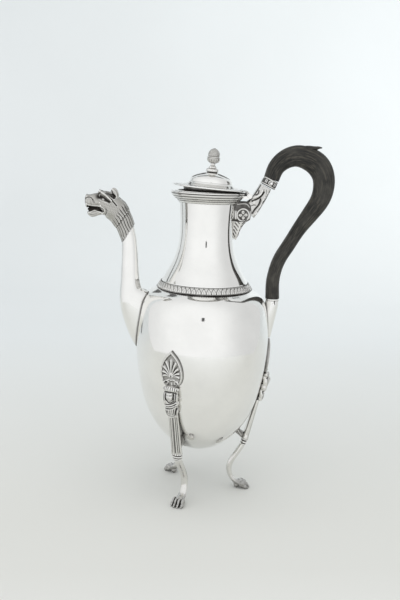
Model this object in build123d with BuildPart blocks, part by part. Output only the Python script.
"""Footed silver coffee pot: egg-shaped body on three paw legs, animal-head spout, loop handle.

Millimetres. The origin is on the pot's upright axis, in the plane that the three paws stand on.
+Z is up, the handle is towards +X and the spout towards -X. The lid stands slightly ajar.
"""

from build123d import *
import os
from math import atan2, cos, degrees, pi, radians, sin

os.makedirs("parts", exist_ok=True)

# ------------------------------------------------------------------ driving dimensions
WALL = 1.0  # raised silver sheet of the body, neck and lid

# Egg-shaped body, (radius, height)
BODY_POINTS = [
    (0, 39.3), (26.2, 49.6), (45.0, 74.0), (54.2, 105.0), (57.5, 142.0), (55.4, 163.0), (51.0, 176.8),
    (46.4, 181.2), (40.7, 184.3),
]
BODY_BOTTOM_RUN = (1, 0)
BODY_TOP_RUN = (-0.85, 0.52)

# Sloping shoulder band between the body and the neck
BAND_FOOT = Vector(40.7, 184.3)
BAND_HEAD = Vector(36.6, 190.1)
BAND_DEPTH = 1.0
BEAD_WIDTH = 0.9
BEAD_RISE = 0.35

# Waisted neck, (radius, height)
NECK_POINTS = [
    (37.3, 190.6), (31.7, 200.0), (27.3, 209.0), (24.3, 218.5), (22.8, 230.0), (22.8, 243.0), (24.1, 257.5),
]
NECK_BOTTOM_RUN = (-0.60, 0.80)
NECK_TOP_RUN = (0.16, 0.99)
MOUTH_RADIUS = 27.2
RIM_TOP = 267.0
LIP_RISE = 0.8
NECK_FOOT_STEP = 0.8
# Reeded moulding under the mouth, valleys between the reeds from the top down, (radius, height)
REED_VALLEYS = [(31.2, RIM_TOP), (30.9, 265.1), (29.5, 263.1), (27.8, 261.3), (25.9, 259.9), (24.1, 257.5)]
REED_BULGE = 0.55

# Hinge behind the mouth
HINGE_X = 34.2
HINGE_Z = 264.6
BARREL_RADIUS = 2.3
HINGE_PIN_RADIUS = 0.95
PIN_HEAD = 0.6
RUNNING_GAP = 0.05
KNUCKLES = 5
KNUCKLE_LENGTH = 3.4
KNUCKLE_GAP = 0.1

# Lid, drawn closed and then turned about the hinge
LID_AJAR = 3.6
LID_SHIFT = 1.5  # the lid sits slightly towards the hinge
FLANGE_RADIUS = 32.4
FLANGE_EDGE = 1.3
SEAT_GAP = 0.05
FLANGE_BEVEL = 0.5
DOME_RADIUS = 18.0
DOME_FOOT = 271.2
DOME_STEP = 1.6
DOME_SHOULDER = (14.6, 277.6)
DOME_TOP = 280.8
DOME_INSIDE_SHOULDER = (13.9, 276.3)
BOSS_RADIUS = 4.4
BOSS_RISE = 0.2
CROWN_THICKNESS = 1.6
BEZEL_RADIUS = 23.2
BEZEL_DEPTH = 5.0
BEZEL_WALL = 0.8
BEZEL_TAPER = 1.2

# Finial, (radius, height) with the lid closed
STUD_RADIUS = 1.3
STUD_DEPTH = 4.4
SPOOL_POINTS = [
    (3.8, 281.0), (5.4, 282.2), (5.4, 283.5), (3.2, 284.6), (3.2, 285.9), (1.9, 286.8), (2.2, 288.6),
]
CUP_BOTTOM = 288.6
CUP_FOOT_RADIUS = 2.2
CUP_BELLY = (4.9, 290.2)
CUP_RADIUS = 5.7
CUP_RIM = 293.8
CUP_BEVEL = 0.3
ACORN_FOOT_RADIUS = 4.6
ACORN_BELLY = (5.0, 295.6)
ACORN_SHOULDER = (3.7, 299.0)
ACORN_TOP = 301.2
NUT_ACROSS_CORNERS = 3.6
NUT_HEIGHT = 2.0

# Spout tube: centre x, centre z, tilt, half depth, half width of each oval section
SPOUT_SECTIONS = [
    (-48.5, 146.5, 52, 17.0, 6.0),
    (-56.3, 163.7, 47, 16.7, 8.4),
    (-62.3, 177.0, 27, 11.6, 8.6),
    (-64.0, 190.0, 5, 8.2, 7.8),
    (-64.4, 204.0, 0, 7.4, 7.1),
    (-64.9, 218.0, 4, 6.8, 6.7),
    (-68.4, 235.2, 29, 7.0, 6.7),
]
SPOUT_WALL = 1.2
STRAINER_HOLE_RADIUS = 1.75
STRAINER_HOLES = [(0, 150), (0, 158), (0, 166), (-4.5, 154), (4.5, 154), (-4.5, 162), (4.5, 162)]

# Animal head on the spout: centre x, centre z, tilt, half depth, half width
HEAD_SECTIONS = [
    (-64.9, 226.5, 12, 7.1, 7.1),
    (-68.8, 235.6, 29, 7.6, 7.4),
    (-73.2, 243.6, 44, 8.9, 8.2),
    (-79.9, 250.9, 56, 10.2, 9.4),
    (-87.6, 254.2, 78, 9.8, 9.0),
    (-95.4, 252.6, 92, 9.2, 6.6),
    (-102.6, 252.6, 97, 7.0, 4.8),
]
# Edge of the mane, where the head meets the tube
MANE_LOW = Vector(-71.6, 221.0)
MANE_HIGH = Vector(-61.2, 237.1)
EAR_SIDE = [(-84.5, 262.0), (-81.7, 267.2), (-79.4, 266.6), (-75.6, 259.6), (-81.0, 257.6)]
EAR_INSIDE = 4.0
EAR_THICKNESS = 3.0
BROW_SIDE = [(-93.2, 260.4), (-91.8, 264.7), (-89.6, 264.8), (-85.6, 263.4), (-86.0, 259.0)]
BROW_HALF_WIDTH = 6.4
MOUTH_SLOT = [(-110.0, 251.6), (-100.0, 249.8), (-87.0, 248.4), (-87.0, 246.6), (-110.0, 245.4)]
CHANNEL_RADIUS = 3.2
CHANNEL_PATH = [
    (-63.5, 219.0), (-66.6, 229.5), (-72.2, 241.0), (-80.0, 247.0), (-90.0, 248.2), (-108.0, 248.4),
]

# Wooden handle from its top socket round to its foot: centre x, centre z, half depth
HANDLE_ROUTE = [
    (53.25, 279.2, 6.6), (53.56, 280.15, 6.6), (56.3, 287.9, 7.1), (62.8, 295.2, 8.0), (73.6, 299.6, 9.0),
    (84.5, 297.5, 9.7), (92.7, 292.4, 10.1), (98.3, 283.5, 9.6), (99.3, 273.5, 9.1), (97.0, 264.3, 8.5),
    (92.3, 256.0, 7.8), (86.6, 247.7, 7.0), (80.6, 239.0, 6.2), (75.4, 230.4, 5.8), (70.4, 221.7, 5.8),
    (65.7, 213.8, 5.7), (62.4, 206.0, 5.6), (60.4, 198.0, 5.6), (59.5, 190.0, 5.8), (59.7, 182.5, 5.9),
    (60.0, 177.6, 6.05), (60.0, 176.6, 6.05),
]
HANDLE_HALF_WIDTH = 6.0
THUMB_LEAF = [
    (79.0, 305.0), (80.0, 308.0), (89.2, 307.4), (92.5, 308.6), (95.6, 307.5), (94.6, 305.0), (89.0, 303.0),
]
THUMB_LEAF_HALF_WIDTH = 3.6
TENON_RADIUS = 3.6
TENON_LENGTH = 10.0
TENON_ROOT = 2.0
HANDLE_PIN_RADIUS = 0.9
UPPER_PIN_DEPTH = 3.4
LOWER_PIN_DEPTH = 4.6
PIN_STAND_OUT = 0.2

# Cast socket that carries the top of the handle, (x, z)
BLOCK_OUTLINE = [
    (18.0, 258.4), (25.0, 259.6), (33.6, 260.0), (35.9, 256.8), (37.0, 250.9), (36.0, 244.5), (33.4, 242.6),
    (31.0, 240.0), (28.6, 236.0), (27.1, 231.0), (25.0, 226.4), (18.0, 227.0),
]
BLOCK_HALF_WIDTH = 6.6
# The block narrows to a leaf tip below the rosette.
BLOCK_FRONT = [(0, 226.4), (3.2, 232.0), (5.2, 240.0), (BLOCK_HALF_WIDTH, 243.6), (BLOCK_HALF_WIDTH, 260.0)]
ARM_OUTLINE = [
    (33.6, 260.0), (34.7, 261.9), (36.7, 263.2), (39.1, 267.1), (43.8, 275.7), (54.0, 271.8), (52.8, 269.3),
    (50.5, 264.1), (47.4, 258.1), (44.2, 252.9), (41.0, 248.5), (36.0, 244.5), (37.0, 250.9), (35.9, 256.8),
]
ARM_HALF_WIDTH = 5.6
COLLAR_OUTLINE = [(43.8, 275.7), (46.9, 281.3), (59.6, 277.1), (57.0, 270.7)]
COLLAR_HALF_WIDTH = 6.7
COLLAR_ROUND = 2.0
ROSETTE_X = 29.7
ROSETTE_Z = 248.6
ROSETTE_RADIUS = 4.7
ROSETTE_RING = 0.8
ROSETTE_GROUND = 0.25
ROSETTE_RISE = 0.7
PETAL_RADIUS = 1.35
PETAL_PITCH_RADIUS = 1.75
PETAL_EYE_RADIUS = 1.0

# Tapering socket for the foot of the handle: x centre, z, half depth, half width
LOWER_SOCKET_SECTIONS = [(60.0, 176.6, 6.1, 6.1), (59.6, 160.0, 4.6, 4.9), (58.6, 141.2, 2.2, 2.9)]

# Legs
LEGS = {"handle": 0, "front": -120, "rear": 120}
FOOT_SPLAY = {"handle": 0, "front": 3.0, "rear": 0}  # hand-fitted: one foot stands a little to the side
PLAQUE_OUTLINE = [
    (0, 108.8), (5.4, 110.4), (9.1, 114.8), (10.3, 121.5), (8.7, 129.4), (4.8, 136.0), (0, 141.0),
]
FIELD_OUTLINE = [
    (0, 110.4), (4.6, 111.8), (7.7, 115.6), (8.8, 121.5), (7.3, 128.7), (3.9, 134.4), (0, 138.4),
]
PLAQUE_BACK = 45.0
FIELD_RISE = 2.2
BORDER_RISE = 3.1
BUST_SIDE = [
    (48.0, 111.5), (59.0, 111.5), (60.7, 109.4), (62.3, 105.8), (61.2, 100.2), (58.3, 95.5), (56.3, 90.8),
    (54.9, 84.2), (54.4, 82.4), (53.3, 82.4), (53.3, 84.0), (50.2, 84.0), (51.8, 90.0), (48.0, 97.0),
]
BUST_FRONT = [
    (5.6, 111.5), (7.4, 108.6), (7.4, 104.0), (6.9, 99.0), (6.3, 92.0), (5.5, 87.0), (4.6, 84.0), (2.6, 82.4),
]
SHAFT_SIDE = [(50.2, 84.0), (53.3, 84.0), (45.2, 47.3), (39.6, 48.9)]
SHAFT_HALF_WIDTH = 4.6
FLUTES = 5
FLUTE_PITCH = 1.6
FLUTE_RADIUS = 0.6
# Knop discs from the top down: half depth, half width, height
KNOP_DISCS = [(3.2, 5.2, 1.8), (2.5, 4.3, 0.9), (3.0, 4.9, 1.7), (2.4, 4.0, 0.8), (2.8, 4.5, 1.5)]
SHIN_PATH = [
    (40.4, 41.4), (35.8, 34.0), (31.6, 27.2), (29.5, 21.6), (29.4, 16.8), (31.0, 11.6), (34.4, 7.2),
    (39.0, 4.6),
]
SHIN_HALF_DEPTH = 2.7
SHIN_HALF_WIDTH = 3.4
PAW_SIDE = [(35.6, 0), (36.0, 4.6), (38.6, 7.4), (42.0, 8.0), (45.4, 6.9), (47.6, 4.4), (48.2, 0)]
PAW_HALF_WIDTH = 4.6
TOE_RADIUS = 2.5
TOE_HEIGHT = 2.3
TOES = [(46.4, -1.7), (46.4, 1.7), (44.9, -4.4), (44.9, 4.4)]
STRUT_OUTLINE = [
    (33.0, 60.0), (32.4, 53.7), (35.4, 51.4), (39.0, 47.8), (41.5, 53.5), (37.4, 55.6), (37.6, 64.0),
]
STRUT_HALF_WIDTH = 1.9

# ------------------------------------------------------------------ shared shapes
PROFILE_STEPS = 24
OVAL_STEPS = 20
FAR = 80.0
BARE_SIDE = 90.0
JACKET_SPAN = (0.30, 0.85)
JACKET_ARC = 60.0


def profile_curve(points, first_run, last_run, depth=0.0):
    """A smooth profile through the points. A depth draws it that far to its left, into the metal."""
    curve = Spline(*points, tangents=[first_run, last_run])
    if depth == 0:
        return curve
    moved = []
    for step in range(PROFILE_STEPS + 1):
        place = step / PROFILE_STEPS
        run = curve % place
        moved.append(curve @ place + Vector(-run.Y, run.X) * depth)
    return Spline(*moved, tangents=[first_run, last_run])


def body_curve(depth=0.0):
    """The body's profile, drawn below (or, with a negative depth, above) its outer surface."""
    return profile_curve(BODY_POINTS, BODY_BOTTOM_RUN, BODY_TOP_RUN, depth)


def body_solid():
    """The whole egg as a filled solid. Its seam is turned to a bare side."""
    curve = body_curve()
    with BuildPart() as egg:
        with BuildSketch(Plane.XZ):
            with BuildLine():
                add(curve)
                Polyline(curve @ 1, (0, (curve @ 1).Y), curve @ 0)
            make_face()
        revolve(axis=Axis.Z)
    return egg.part.rotate(Axis.Z, BARE_SIDE)


def body_jacket(low, high):
    """A skin over part of the egg's handle side, between two rises above its surface."""
    outlines = [body_curve(-rise).trim(*JACKET_SPAN) for rise in (low, high)]
    with BuildPart() as jacket:
        with BuildSketch(Plane.XZ):
            with BuildLine():
                add(outlines)
                Line(outlines[0] @ 0, outlines[1] @ 0)
                Line(outlines[0] @ 1, outlines[1] @ 1)
            make_face()
        revolve(axis=Axis.Z, revolution_arc=JACKET_ARC)
    return jacket.part.rotate(Axis.Z, -JACKET_ARC / 2)


def section_plane(x, z, tilt):
    """A plane across a bent tube, whose local x runs upwards to the right by the tilt."""
    run = (cos(radians(tilt)), 0, sin(radians(tilt)))
    return Plane(origin=(x, 0, z), x_dir=run, z_dir=(-run[2], 0, run[0]))


def oval_loft(sections, wall=0.0):
    """A solid through oval sections, each made smaller by the wall."""
    with BuildPart() as tube:
        for x, z, tilt, half_depth, half_width in sections:
            depth, width = half_depth - wall, half_width - wall
            with BuildSketch(section_plane(x, z, tilt)):
                with BuildLine():
                    turns = [2 * pi * step / OVAL_STEPS for step in range(OVAL_STEPS)]
                    Polyline(*[(depth * cos(turn), width * sin(turn)) for turn in turns], close=True)
                make_face()
        loft(ruled=True)
    return tube.part


def route_sections(route, half_width):
    """Oval sections square to a bent route of centre x, centre z and half depth."""
    sections = []
    for index, (x, z, half_depth) in enumerate(route):
        before, after = route[max(index - 1, 0)], route[min(index + 1, len(route) - 1)]
        tilt = degrees(atan2(before[0] - after[0], after[1] - before[1]))
        sections.append((x, z, tilt, half_depth, half_width))
    return sections


def side_solid(outline, half_width, plane=Plane.XZ):
    """A side outline made into a plate of even width about the pot's middle plane."""
    with BuildPart() as plate:
        with BuildSketch(plane):
            with BuildLine():
                Polyline(*outline, close=True)
            make_face()
        extrude(amount=half_width, both=True)
    return plate.part


def save(part, name):
    """Label a finished piece and write it as its own STEP file."""
    part.label = name
    export_step(part, f"parts/{name}.step")


BODY_ENVELOPE = body_solid()

# ------------------------------------------------------------------ body
band_run = (BAND_HEAD - BAND_FOOT).normalized()
band_normal = Vector(band_run.Y, -band_run.X)
body_outer = body_curve()
body_inner = body_curve(WALL)

with BuildPart() as body_blank:
    with BuildSketch(Plane.XZ):
        with BuildLine():
            add(body_outer)
            Polyline(body_outer @ 1, BAND_HEAD, BAND_HEAD - band_normal * WALL, body_inner @ 1)
            add(body_inner)
            Line(body_inner @ 0, body_outer @ 0)
        make_face()
    revolve(axis=Axis.Z)

with BuildPart() as body_shell:
    add(body_blank.part.rotate(Axis.Z, BARE_SIDE))
    with BuildSketch(Plane.YZ):
        with Locations(*STRAINER_HOLES):
            Circle(STRAINER_HOLE_RADIUS)
    extrude(amount=-FAR, mode=Mode.SUBTRACT)
save(body_shell.part, "body_shell")

band_length = (BAND_HEAD - BAND_FOOT).length
band_plane = Plane(
    origin=(BAND_FOOT.X, 0, BAND_FOOT.Y),
    x_dir=(band_run.X, 0, band_run.Y),
    z_dir=(0, 1, 0),
)
BAND_OUTLINE = [
    (0, 0),
    (0, BAND_DEPTH + BEAD_RISE),
    (BEAD_WIDTH, BAND_DEPTH + BEAD_RISE),
    (BEAD_WIDTH, BAND_DEPTH),
    (band_length - BEAD_WIDTH, BAND_DEPTH),
    (band_length - BEAD_WIDTH, BAND_DEPTH + BEAD_RISE),
    (band_length, BAND_DEPTH + BEAD_RISE),
    (band_length, 0),
]

with BuildPart() as shoulder_band:
    with BuildSketch(band_plane):
        with BuildLine():
            Polyline(*BAND_OUTLINE, close=True)
        make_face()
    revolve(axis=Axis.Z)
save(shoulder_band.part, "shoulder_band")

# ------------------------------------------------------------------ neck and mouth
neck_outer = profile_curve(NECK_POINTS, NECK_BOTTOM_RUN, NECK_TOP_RUN)
neck_inner = profile_curve(NECK_POINTS, NECK_BOTTOM_RUN, NECK_TOP_RUN, WALL)
LIP_TOP = RIM_TOP + LIP_RISE

with BuildPart() as neck_shell:
    with BuildSketch(Plane.XZ):
        with BuildLine():
            add(neck_outer)
            Polyline(
                neck_outer @ 1,
                (MOUTH_RADIUS, RIM_TOP),
                (MOUTH_RADIUS, LIP_TOP),
                (MOUTH_RADIUS - WALL, LIP_TOP),
                (MOUTH_RADIUS - WALL, RIM_TOP),
                neck_inner @ 1,
            )
            add(neck_inner)
            Polyline(
                neck_inner @ 0,
                BAND_HEAD - band_normal * WALL,
                BAND_HEAD + band_normal * NECK_FOOT_STEP,
                neck_outer @ 0,
            )
        make_face()
    revolve(axis=Axis.Z)
save(neck_shell.part, "neck_shell")

with BuildPart() as rim_moulding:
    with BuildSketch(Plane.XZ):
        with BuildLine():
            for upper, lower in zip(REED_VALLEYS, REED_VALLEYS[1:]):
                run = (Vector(*lower) - Vector(*upper)).normalized()
                crest = (Vector(*lower) + Vector(*upper)) * 0.5 + Vector(-run.Y, run.X) * REED_BULGE
                ThreePointArc(upper, crest, lower)
            Polyline(REED_VALLEYS[-1], (MOUTH_RADIUS, RIM_TOP), REED_VALLEYS[0])
        make_face()
    revolve(axis=Axis.Z)
save(rim_moulding.part, "rim_moulding")

# ------------------------------------------------------------------ spout
mane_run = (MANE_HIGH - MANE_LOW).normalized()
mane_plane = Plane(
    origin=(MANE_LOW.X, 0, MANE_LOW.Y),
    x_dir=(mane_run.X, 0, mane_run.Y),
    z_dir=(-mane_run.Y, 0, mane_run.X),
)

with BuildPart() as spout_tube:
    add(oval_loft(SPOUT_SECTIONS))
    add(oval_loft(SPOUT_SECTIONS, SPOUT_WALL), mode=Mode.SUBTRACT)
    add(BODY_ENVELOPE, mode=Mode.SUBTRACT)
    split(bisect_by=mane_plane, keep=Keep.BOTTOM)
save(spout_tube.part, "spout_tube")

with BuildPart() as spout_head:
    add(oval_loft(HEAD_SECTIONS))
    # ears
    for side in (-1, 1):
        with BuildSketch(Plane.XZ.offset(side * EAR_INSIDE)):
            with BuildLine():
                Polyline(*EAR_SIDE, close=True)
            make_face()
        extrude(amount=side * EAR_THICKNESS)
    # brow ridge over both eyes
    with BuildSketch(Plane.XZ):
        with BuildLine():
            Polyline(*BROW_SIDE, close=True)
        make_face()
    extrude(amount=BROW_HALF_WIDTH, both=True)
    split(bisect_by=mane_plane, keep=Keep.TOP)
    # mouth between the jaws, open through both cheeks
    with BuildSketch(Plane.XZ):
        with BuildLine():
            Polyline(*MOUTH_SLOT, close=True)
        make_face()
    extrude(amount=FAR, both=True, mode=Mode.SUBTRACT)
    # pouring channel from the tube to the mouth
    with BuildLine(Plane.XZ) as channel_line:
        Spline(*CHANNEL_PATH)
    with BuildSketch(Plane(origin=channel_line.line @ 0, z_dir=channel_line.line % 0)):
        Circle(CHANNEL_RADIUS)
    sweep(path=channel_line.line, mode=Mode.SUBTRACT)
save(spout_head.part, "spout_head")

# ------------------------------------------------------------------ handle
collar_top = (Vector(*COLLAR_OUTLINE[1]) + Vector(*COLLAR_OUTLINE[2])) * 0.5
collar_edge = (Vector(*COLLAR_OUTLINE[2]) - Vector(*COLLAR_OUTLINE[1])).normalized()
collar_run = Vector(collar_edge.Y, -collar_edge.X)
upper_tenon_plane = Plane(origin=(collar_top.X, 0, collar_top.Y), z_dir=(collar_run.X, 0, collar_run.Y))
HANDLE_FOOT_X, HANDLE_FOOT_Z = LOWER_SOCKET_SECTIONS[0][:2]
lower_tenon_plane = Plane(origin=(HANDLE_FOOT_X, 0, HANDLE_FOOT_Z), z_dir=(0, 0, -1))

with BuildPart() as tenons:
    for plane in (upper_tenon_plane, lower_tenon_plane):
        with BuildSketch(plane.offset(-TENON_ROOT)):
            Circle(TENON_RADIUS)
        extrude(amount=TENON_ROOT + TENON_LENGTH)

UPPER_PIN = collar_top + collar_run * UPPER_PIN_DEPTH
LOWER_PIN = Vector(HANDLE_FOOT_X, HANDLE_FOOT_Z - LOWER_PIN_DEPTH)


def cross_pin(place, half_length, name):
    """A rivet through a socket and the wooden tenon in it."""
    with BuildPart() as pin:
        with BuildSketch(Plane.XZ):
            with Locations((place.X, place.Y)):
                Circle(HANDLE_PIN_RADIUS)
        extrude(amount=half_length, both=True)
    save(pin.part, name)
    return pin.part


upper_pin = cross_pin(UPPER_PIN, COLLAR_HALF_WIDTH, "upper_handle_pin")
lower_pin = cross_pin(LOWER_PIN, LOWER_SOCKET_SECTIONS[0][3] + PIN_STAND_OUT, "lower_handle_pin")

handle_sections = route_sections(HANDLE_ROUTE, HANDLE_HALF_WIDTH)
collar_tilt = degrees(atan2(collar_edge.Y, collar_edge.X))
handle_sections[0] = (collar_top.X, collar_top.Y, collar_tilt, *handle_sections[0][3:])

with BuildPart() as handle_grip:
    add(oval_loft(handle_sections))
    add(side_solid(THUMB_LEAF, THUMB_LEAF_HALF_WIDTH))
    add(tenons.part)
    add(upper_pin, mode=Mode.SUBTRACT)
    add(lower_pin, mode=Mode.SUBTRACT)
save(handle_grip.part, "handle_grip")

with BuildPart() as socket_collar:
    add(side_solid(COLLAR_OUTLINE, COLLAR_HALF_WIDTH))
    short_edges = socket_collar.faces().filter_by(Axis.Y).edges().filter_by(lambda edge: edge.length < 8)
    fillet(short_edges, COLLAR_ROUND)
    add(tenons.part, mode=Mode.SUBTRACT)
    add(upper_pin, mode=Mode.SUBTRACT)
save(socket_collar.part, "socket_collar")

with BuildPart() as socket_arm:
    add(side_solid(ARM_OUTLINE, ARM_HALF_WIDTH))
    add(tenons.part, mode=Mode.SUBTRACT)
save(socket_arm.part, "socket_arm")

block_front = BLOCK_FRONT + [(-y, z) for y, z in reversed(BLOCK_FRONT[1:])]

with BuildPart() as socket_block:
    add(side_solid(BLOCK_OUTLINE, BLOCK_HALF_WIDTH))
    with BuildSketch(Plane.YZ):
        with BuildLine():
            Polyline(*block_front, close=True)
        make_face()
    extrude(amount=FAR, mode=Mode.INTERSECT)
    with BuildSketch(Plane.XZ):
        with BuildLine():
            add(neck_outer)
            Polyline(
                neck_outer @ 1,
                (NECK_POINTS[-1][0], RIM_TOP),
                (0, RIM_TOP),
                (0, NECK_POINTS[0][1]),
                neck_outer @ 0,
            )
        make_face()
    revolve(axis=Axis.Z, mode=Mode.SUBTRACT)
    add(rim_moulding.part, mode=Mode.SUBTRACT)
    add(neck_shell.part, mode=Mode.SUBTRACT)
save(socket_block.part, "socket_block")

with BuildPart() as side_rosettes:
    for side in (-1, 1):
        with BuildSketch(Plane.XZ.offset(-side * BLOCK_HALF_WIDTH)):
            with Locations((ROSETTE_X, ROSETTE_Z)):
                Circle(ROSETTE_RADIUS)
                Circle(ROSETTE_RADIUS - ROSETTE_RING, mode=Mode.SUBTRACT)
                with PolarLocations(PETAL_PITCH_RADIUS, 4, start_angle=45):
                    Circle(PETAL_RADIUS)
                Circle(PETAL_EYE_RADIUS)
        extrude(amount=-side * ROSETTE_RISE)
        with BuildSketch(Plane.XZ.offset(-side * BLOCK_HALF_WIDTH)):
            with Locations((ROSETTE_X, ROSETTE_Z)):
                Circle(ROSETTE_RADIUS)
        extrude(amount=-side * ROSETTE_GROUND)
save(side_rosettes.part, "side_rosettes")

with BuildPart() as lower_socket:
    for x, z, half_depth, half_width in LOWER_SOCKET_SECTIONS:
        with BuildSketch(Plane(origin=(x, 0, z))):
            Ellipse(half_depth, half_width)
    loft()
    add(BODY_ENVELOPE, mode=Mode.SUBTRACT)
    add(tenons.part, mode=Mode.SUBTRACT)
    add(lower_pin, mode=Mode.SUBTRACT)
save(lower_socket.part, "lower_socket")

# ------------------------------------------------------------------ hinge
knuckle_pitch = KNUCKLE_LENGTH + KNUCKLE_GAP / 2
HINGE_HALF_LENGTH = KNUCKLES * knuckle_pitch / 2
HINGE_AXIS = Axis((HINGE_X, 0, HINGE_Z), (0, 1, 0))
FLANGE_BOTTOM = LIP_TOP + SEAT_GAP


def knuckle_row(indexes, bore, web_x, web_z):
    """Barrels along the hinge, each with a web between the given x and z limits."""
    web_size = (web_x[1] - web_x[0], web_z[1] - web_z[0])
    web_centre = ((web_x[0] + web_x[1]) / 2, (web_z[0] + web_z[1]) / 2)
    with BuildPart() as row:
        for index in indexes:
            start = index * knuckle_pitch - HINGE_HALF_LENGTH + KNUCKLE_GAP / 4
            with BuildSketch(Plane.XZ.offset(-start)):
                with Locations((HINGE_X, HINGE_Z)):
                    Circle(BARREL_RADIUS)
                with Locations(web_centre):
                    Rectangle(*web_size)
                with Locations((HINGE_X, HINGE_Z)):
                    Circle(bore, mode=Mode.SUBTRACT)
            extrude(amount=-(KNUCKLE_LENGTH - KNUCKLE_GAP / 2))
    return row.part


fixed_row = knuckle_row(
    range(0, KNUCKLES, 2),
    HINGE_PIN_RADIUS,
    (MOUTH_RADIUS, HINGE_X),
    (HINGE_Z - BARREL_RADIUS, HINGE_Z),
)
with BuildPart() as fixed_knuckles:
    add(fixed_row)
    add(rim_moulding.part, mode=Mode.SUBTRACT)
    add(neck_shell.part, mode=Mode.SUBTRACT)
save(fixed_knuckles.part, "fixed_knuckles")

with BuildPart() as hinge_pin:
    with BuildSketch(Plane.XZ):
        with Locations((HINGE_X, HINGE_Z)):
            Circle(HINGE_PIN_RADIUS)
    extrude(amount=HINGE_HALF_LENGTH, both=True)
    for side in (-1, 1):
        with BuildSketch(Plane.XZ.offset(side * HINGE_HALF_LENGTH)):
            with Locations((HINGE_X, HINGE_Z)):
                Circle(HINGE_PIN_RADIUS + PIN_HEAD)
        extrude(amount=side * PIN_HEAD)
save(hinge_pin.part, "hinge_pin")

lid_row = knuckle_row(
    range(1, KNUCKLES, 2),
    HINGE_PIN_RADIUS + RUNNING_GAP,
    (HINGE_X - BARREL_RADIUS, LID_SHIFT + FLANGE_RADIUS),
    (HINGE_Z, FLANGE_BOTTOM),
)
save(lid_row.rotate(HINGE_AXIS, LID_AJAR), "lid_knuckles")

# ------------------------------------------------------------------ lid
LID_AXIS = Axis((LID_SHIFT, 0, 0), (0, 0, 1))
LID_PLANE = Plane(origin=(LID_SHIFT, 0, 0), x_dir=(1, 0, 0), z_dir=(0, -1, 0))
FLANGE_TOP = FLANGE_BOTTOM + FLANGE_EDGE
CROWN_BOTTOM = DOME_TOP - CROWN_THICKNESS
dome_start = (DOME_RADIUS, DOME_FOOT + DOME_STEP)
dome_end = (BOSS_RADIUS, DOME_TOP)
inside_start = (BOSS_RADIUS, CROWN_BOTTOM)
inside_end = (DOME_RADIUS - WALL, DOME_FOOT + DOME_STEP)

with BuildPart() as lid_cover:
    with BuildSketch(LID_PLANE):
        with BuildLine():
            Polyline(
                (DOME_RADIUS - WALL, FLANGE_BOTTOM),
                (FLANGE_RADIUS, FLANGE_BOTTOM),
                (FLANGE_RADIUS, FLANGE_TOP - FLANGE_BEVEL),
                (FLANGE_RADIUS - FLANGE_BEVEL, FLANGE_TOP),
                (DOME_RADIUS, DOME_FOOT),
                dome_start,
            )
            Spline(dome_start, DOME_SHOULDER, dome_end, tangents=[(0, 1), (-1, 0.06)])
            Polyline(
                dome_end,
                (BOSS_RADIUS, DOME_TOP + BOSS_RISE),
                (STUD_RADIUS, DOME_TOP + BOSS_RISE),
                (STUD_RADIUS, CROWN_BOTTOM),
                inside_start,
            )
            Spline(inside_start, DOME_INSIDE_SHOULDER, inside_end, tangents=[(1, -0.06), (0, -1)])
            Line(inside_end, (DOME_RADIUS - WALL, FLANGE_BOTTOM))
        make_face()
    revolve(axis=LID_AXIS)
save(lid_cover.part.rotate(HINGE_AXIS, LID_AJAR), "lid_cover")

BEZEL_OUTLINE = [
    (BEZEL_RADIUS, FLANGE_BOTTOM),
    (BEZEL_RADIUS - BEZEL_TAPER, FLANGE_BOTTOM - BEZEL_DEPTH),
    (BEZEL_RADIUS - BEZEL_TAPER - BEZEL_WALL, FLANGE_BOTTOM - BEZEL_DEPTH),
    (BEZEL_RADIUS - BEZEL_WALL, FLANGE_BOTTOM),
]
with BuildPart() as lid_bezel:
    with BuildSketch(LID_PLANE):
        with BuildLine():
            Polyline(*BEZEL_OUTLINE, close=True)
        make_face()
    revolve(axis=LID_AXIS)
save(lid_bezel.part.rotate(HINGE_AXIS, LID_AJAR), "lid_bezel")

# ------------------------------------------------------------------ finial
STUD_BOTTOM = DOME_TOP - STUD_DEPTH
cup_lip = (CUP_RADIUS, CUP_RIM - CUP_BEVEL)

with BuildPart() as finial_base:
    with BuildSketch(LID_PLANE):
        with BuildLine():
            Polyline(
                (0, STUD_BOTTOM),
                (STUD_RADIUS, STUD_BOTTOM),
                (STUD_RADIUS, SPOOL_POINTS[0][1]),
                *SPOOL_POINTS,
                (0, CUP_BOTTOM),
                close=True,
            )
        make_face()
    revolve(axis=LID_AXIS)
save(finial_base.part.rotate(HINGE_AXIS, LID_AJAR), "finial_base")

with BuildPart() as finial_cup:
    with BuildSketch(LID_PLANE):
        with BuildLine():
            Line((0, CUP_BOTTOM), (CUP_FOOT_RADIUS, CUP_BOTTOM))
            Spline((CUP_FOOT_RADIUS, CUP_BOTTOM), CUP_BELLY, cup_lip, tangents=[(1, 0.1), (0, 1)])
            Polyline(cup_lip, (CUP_RADIUS - CUP_BEVEL, CUP_RIM), (0, CUP_RIM), (0, CUP_BOTTOM))
        make_face()
    revolve(axis=LID_AXIS)
save(finial_cup.part.rotate(HINGE_AXIS, LID_AJAR), "finial_cup")

with BuildPart() as finial_acorn:
    with BuildSketch(LID_PLANE):
        with BuildLine():
            Line((0, CUP_RIM), (ACORN_FOOT_RADIUS, CUP_RIM))
            Spline(
                (ACORN_FOOT_RADIUS, CUP_RIM),
                ACORN_BELLY,
                ACORN_SHOULDER,
                (0, ACORN_TOP),
                tangents=[(0.4, 1), (-1, 0.1)],
            )
            Line((0, ACORN_TOP), (0, CUP_RIM))
        make_face()
    revolve(axis=LID_AXIS)
save(finial_acorn.part.rotate(HINGE_AXIS, LID_AJAR), "finial_acorn")

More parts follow.
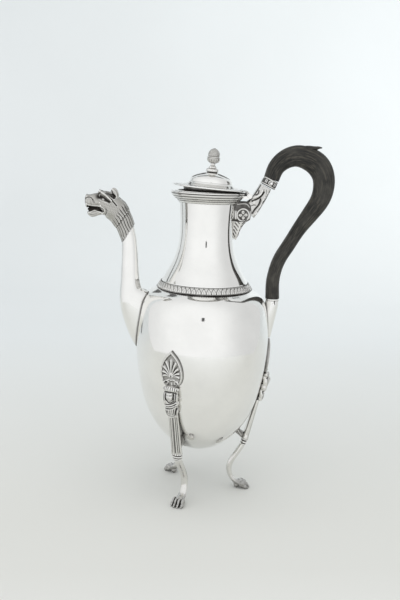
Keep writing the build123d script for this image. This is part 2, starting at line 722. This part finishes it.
with BuildPart() as finial_fixing_nut:
    with BuildSketch(Plane(origin=(LID_SHIFT, 0, CROWN_BOTTOM))):
        RegularPolygon(NUT_ACROSS_CORNERS, 6)
        Circle(STUD_RADIUS, mode=Mode.SUBTRACT)
    extrude(amount=-NUT_HEIGHT)
save(finial_fixing_nut.part.rotate(HINGE_AXIS, LID_AJAR), "finial_fixing_nut")

# ------------------------------------------------------------------ legs
def almond_prism(outline):
    """A leaf-shaped outline and its mirror image, carried outwards from inside the body."""
    half = profile_curve(outline, (1, 0.05), (-0.62, 0.78))
    with BuildPart() as prism:
        with BuildSketch(Plane.YZ.offset(PLAQUE_BACK)):
            with BuildLine():
                add(half)
                mirror(half, about=Plane.YZ)
            make_face()
        extrude(amount=PLAQUE_BACK)
    return prism.part


# The field inside the raised border lies lower.
with BuildPart() as field_cutter:
    add(almond_prism(FIELD_OUTLINE))
    add(body_jacket(FIELD_RISE, BORDER_RISE * 2), mode=Mode.INTERSECT)

with BuildPart() as palmette_plaque:
    add(almond_prism(PLAQUE_OUTLINE))
    add(body_jacket(0, BORDER_RISE), mode=Mode.INTERSECT)
    add(field_cutter.part, mode=Mode.SUBTRACT)

bust_front = BUST_FRONT + [(-y, z) for y, z in reversed(BUST_FRONT)]
with BuildPart() as bust_terminal:
    add(side_solid(BUST_SIDE, FAR))
    with BuildSketch(Plane.YZ):
        with BuildLine():
            Polyline(*bust_front, close=True)
        make_face()
    extrude(amount=FAR, mode=Mode.INTERSECT)
    add(BODY_ENVELOPE, mode=Mode.SUBTRACT)
    add(palmette_plaque.part, mode=Mode.SUBTRACT)

shaft_top, shaft_foot = Vector(*SHAFT_SIDE[1]), Vector(*SHAFT_SIDE[2])
shaft_run = (shaft_top - shaft_foot).normalized()
shaft_plane = Plane(
    origin=(shaft_foot.X, 0, shaft_foot.Y),
    x_dir=(0, 1, 0),
    z_dir=(shaft_run.X, 0, shaft_run.Y),
)

with BuildPart() as fluted_shaft:
    add(side_solid(SHAFT_SIDE, SHAFT_HALF_WIDTH))
    with BuildSketch(shaft_plane):
        with GridLocations(FLUTE_PITCH, 1, FLUTES, 1):
            Circle(FLUTE_RADIUS)
    extrude(amount=FAR, both=True, mode=Mode.SUBTRACT)

knop_top = (Vector(*SHAFT_SIDE[2]) + Vector(*SHAFT_SIDE[3])) * 0.5
shaft_end = Vector(*SHAFT_SIDE[2]) - Vector(*SHAFT_SIDE[3])
knop_plane = section_plane(knop_top.X, knop_top.Y, degrees(atan2(shaft_end.Y, shaft_end.X)))
with BuildPart() as knop_rings:
    depth = 0
    for half_depth, half_width, height in KNOP_DISCS:
        with BuildSketch(knop_plane.offset(-depth)):
            Ellipse(half_depth, half_width)
        extrude(amount=-height)
        depth += height

with BuildPart() as body_strut:
    add(side_solid(STRUT_OUTLINE, STRUT_HALF_WIDTH))
    add(BODY_ENVELOPE, mode=Mode.SUBTRACT)
    add(fluted_shaft.part, mode=Mode.SUBTRACT)
    add(knop_rings.part, mode=Mode.SUBTRACT)


def paw_leg(splay):
    """Curved shin ending in a four-toed paw, whose foot stands aside by the splay."""
    top_z, foot_z = SHIN_PATH[0][1], SHIN_PATH[-1][1]
    route = [(u, splay * (top_z - z) / (top_z - foot_z), z) for u, z in SHIN_PATH]
    with BuildPart() as limb:
        with BuildLine() as shin_line:
            Spline(*route)
        start = Plane(origin=shin_line.line @ 0, x_dir=(0, 1, 0), z_dir=shin_line.line % 0)
        with BuildSketch(start):
            Ellipse(SHIN_HALF_WIDTH, SHIN_HALF_DEPTH)
        sweep(path=shin_line.line)
        with BuildSketch(Plane.XZ.offset(-splay)):
            with BuildLine():
                Spline(*PAW_SIDE)
                Line(PAW_SIDE[-1], PAW_SIDE[0])
            make_face()
        extrude(amount=PAW_HALF_WIDTH, both=True)
        with Locations(*[(u, v + splay, TOE_HEIGHT) for u, v in TOES]):
            Sphere(TOE_RADIUS)
        split(bisect_by=Plane.XY, keep=Keep.TOP)
        add(knop_rings.part, mode=Mode.SUBTRACT)
    return limb.part


for leg, azimuth in LEGS.items():
    pieces = {
        "palmette_plaque": palmette_plaque.part,
        "bust_terminal": bust_terminal.part,
        "fluted_shaft": fluted_shaft.part,
        "knop_rings": knop_rings.part,
        "body_strut": body_strut.part,
        "paw_leg": paw_leg(FOOT_SPLAY[leg]),
    }
    for piece, shape in pieces.items():
        save(shape.rotate(Axis.Z, azimuth), f"{leg}_{piece}")
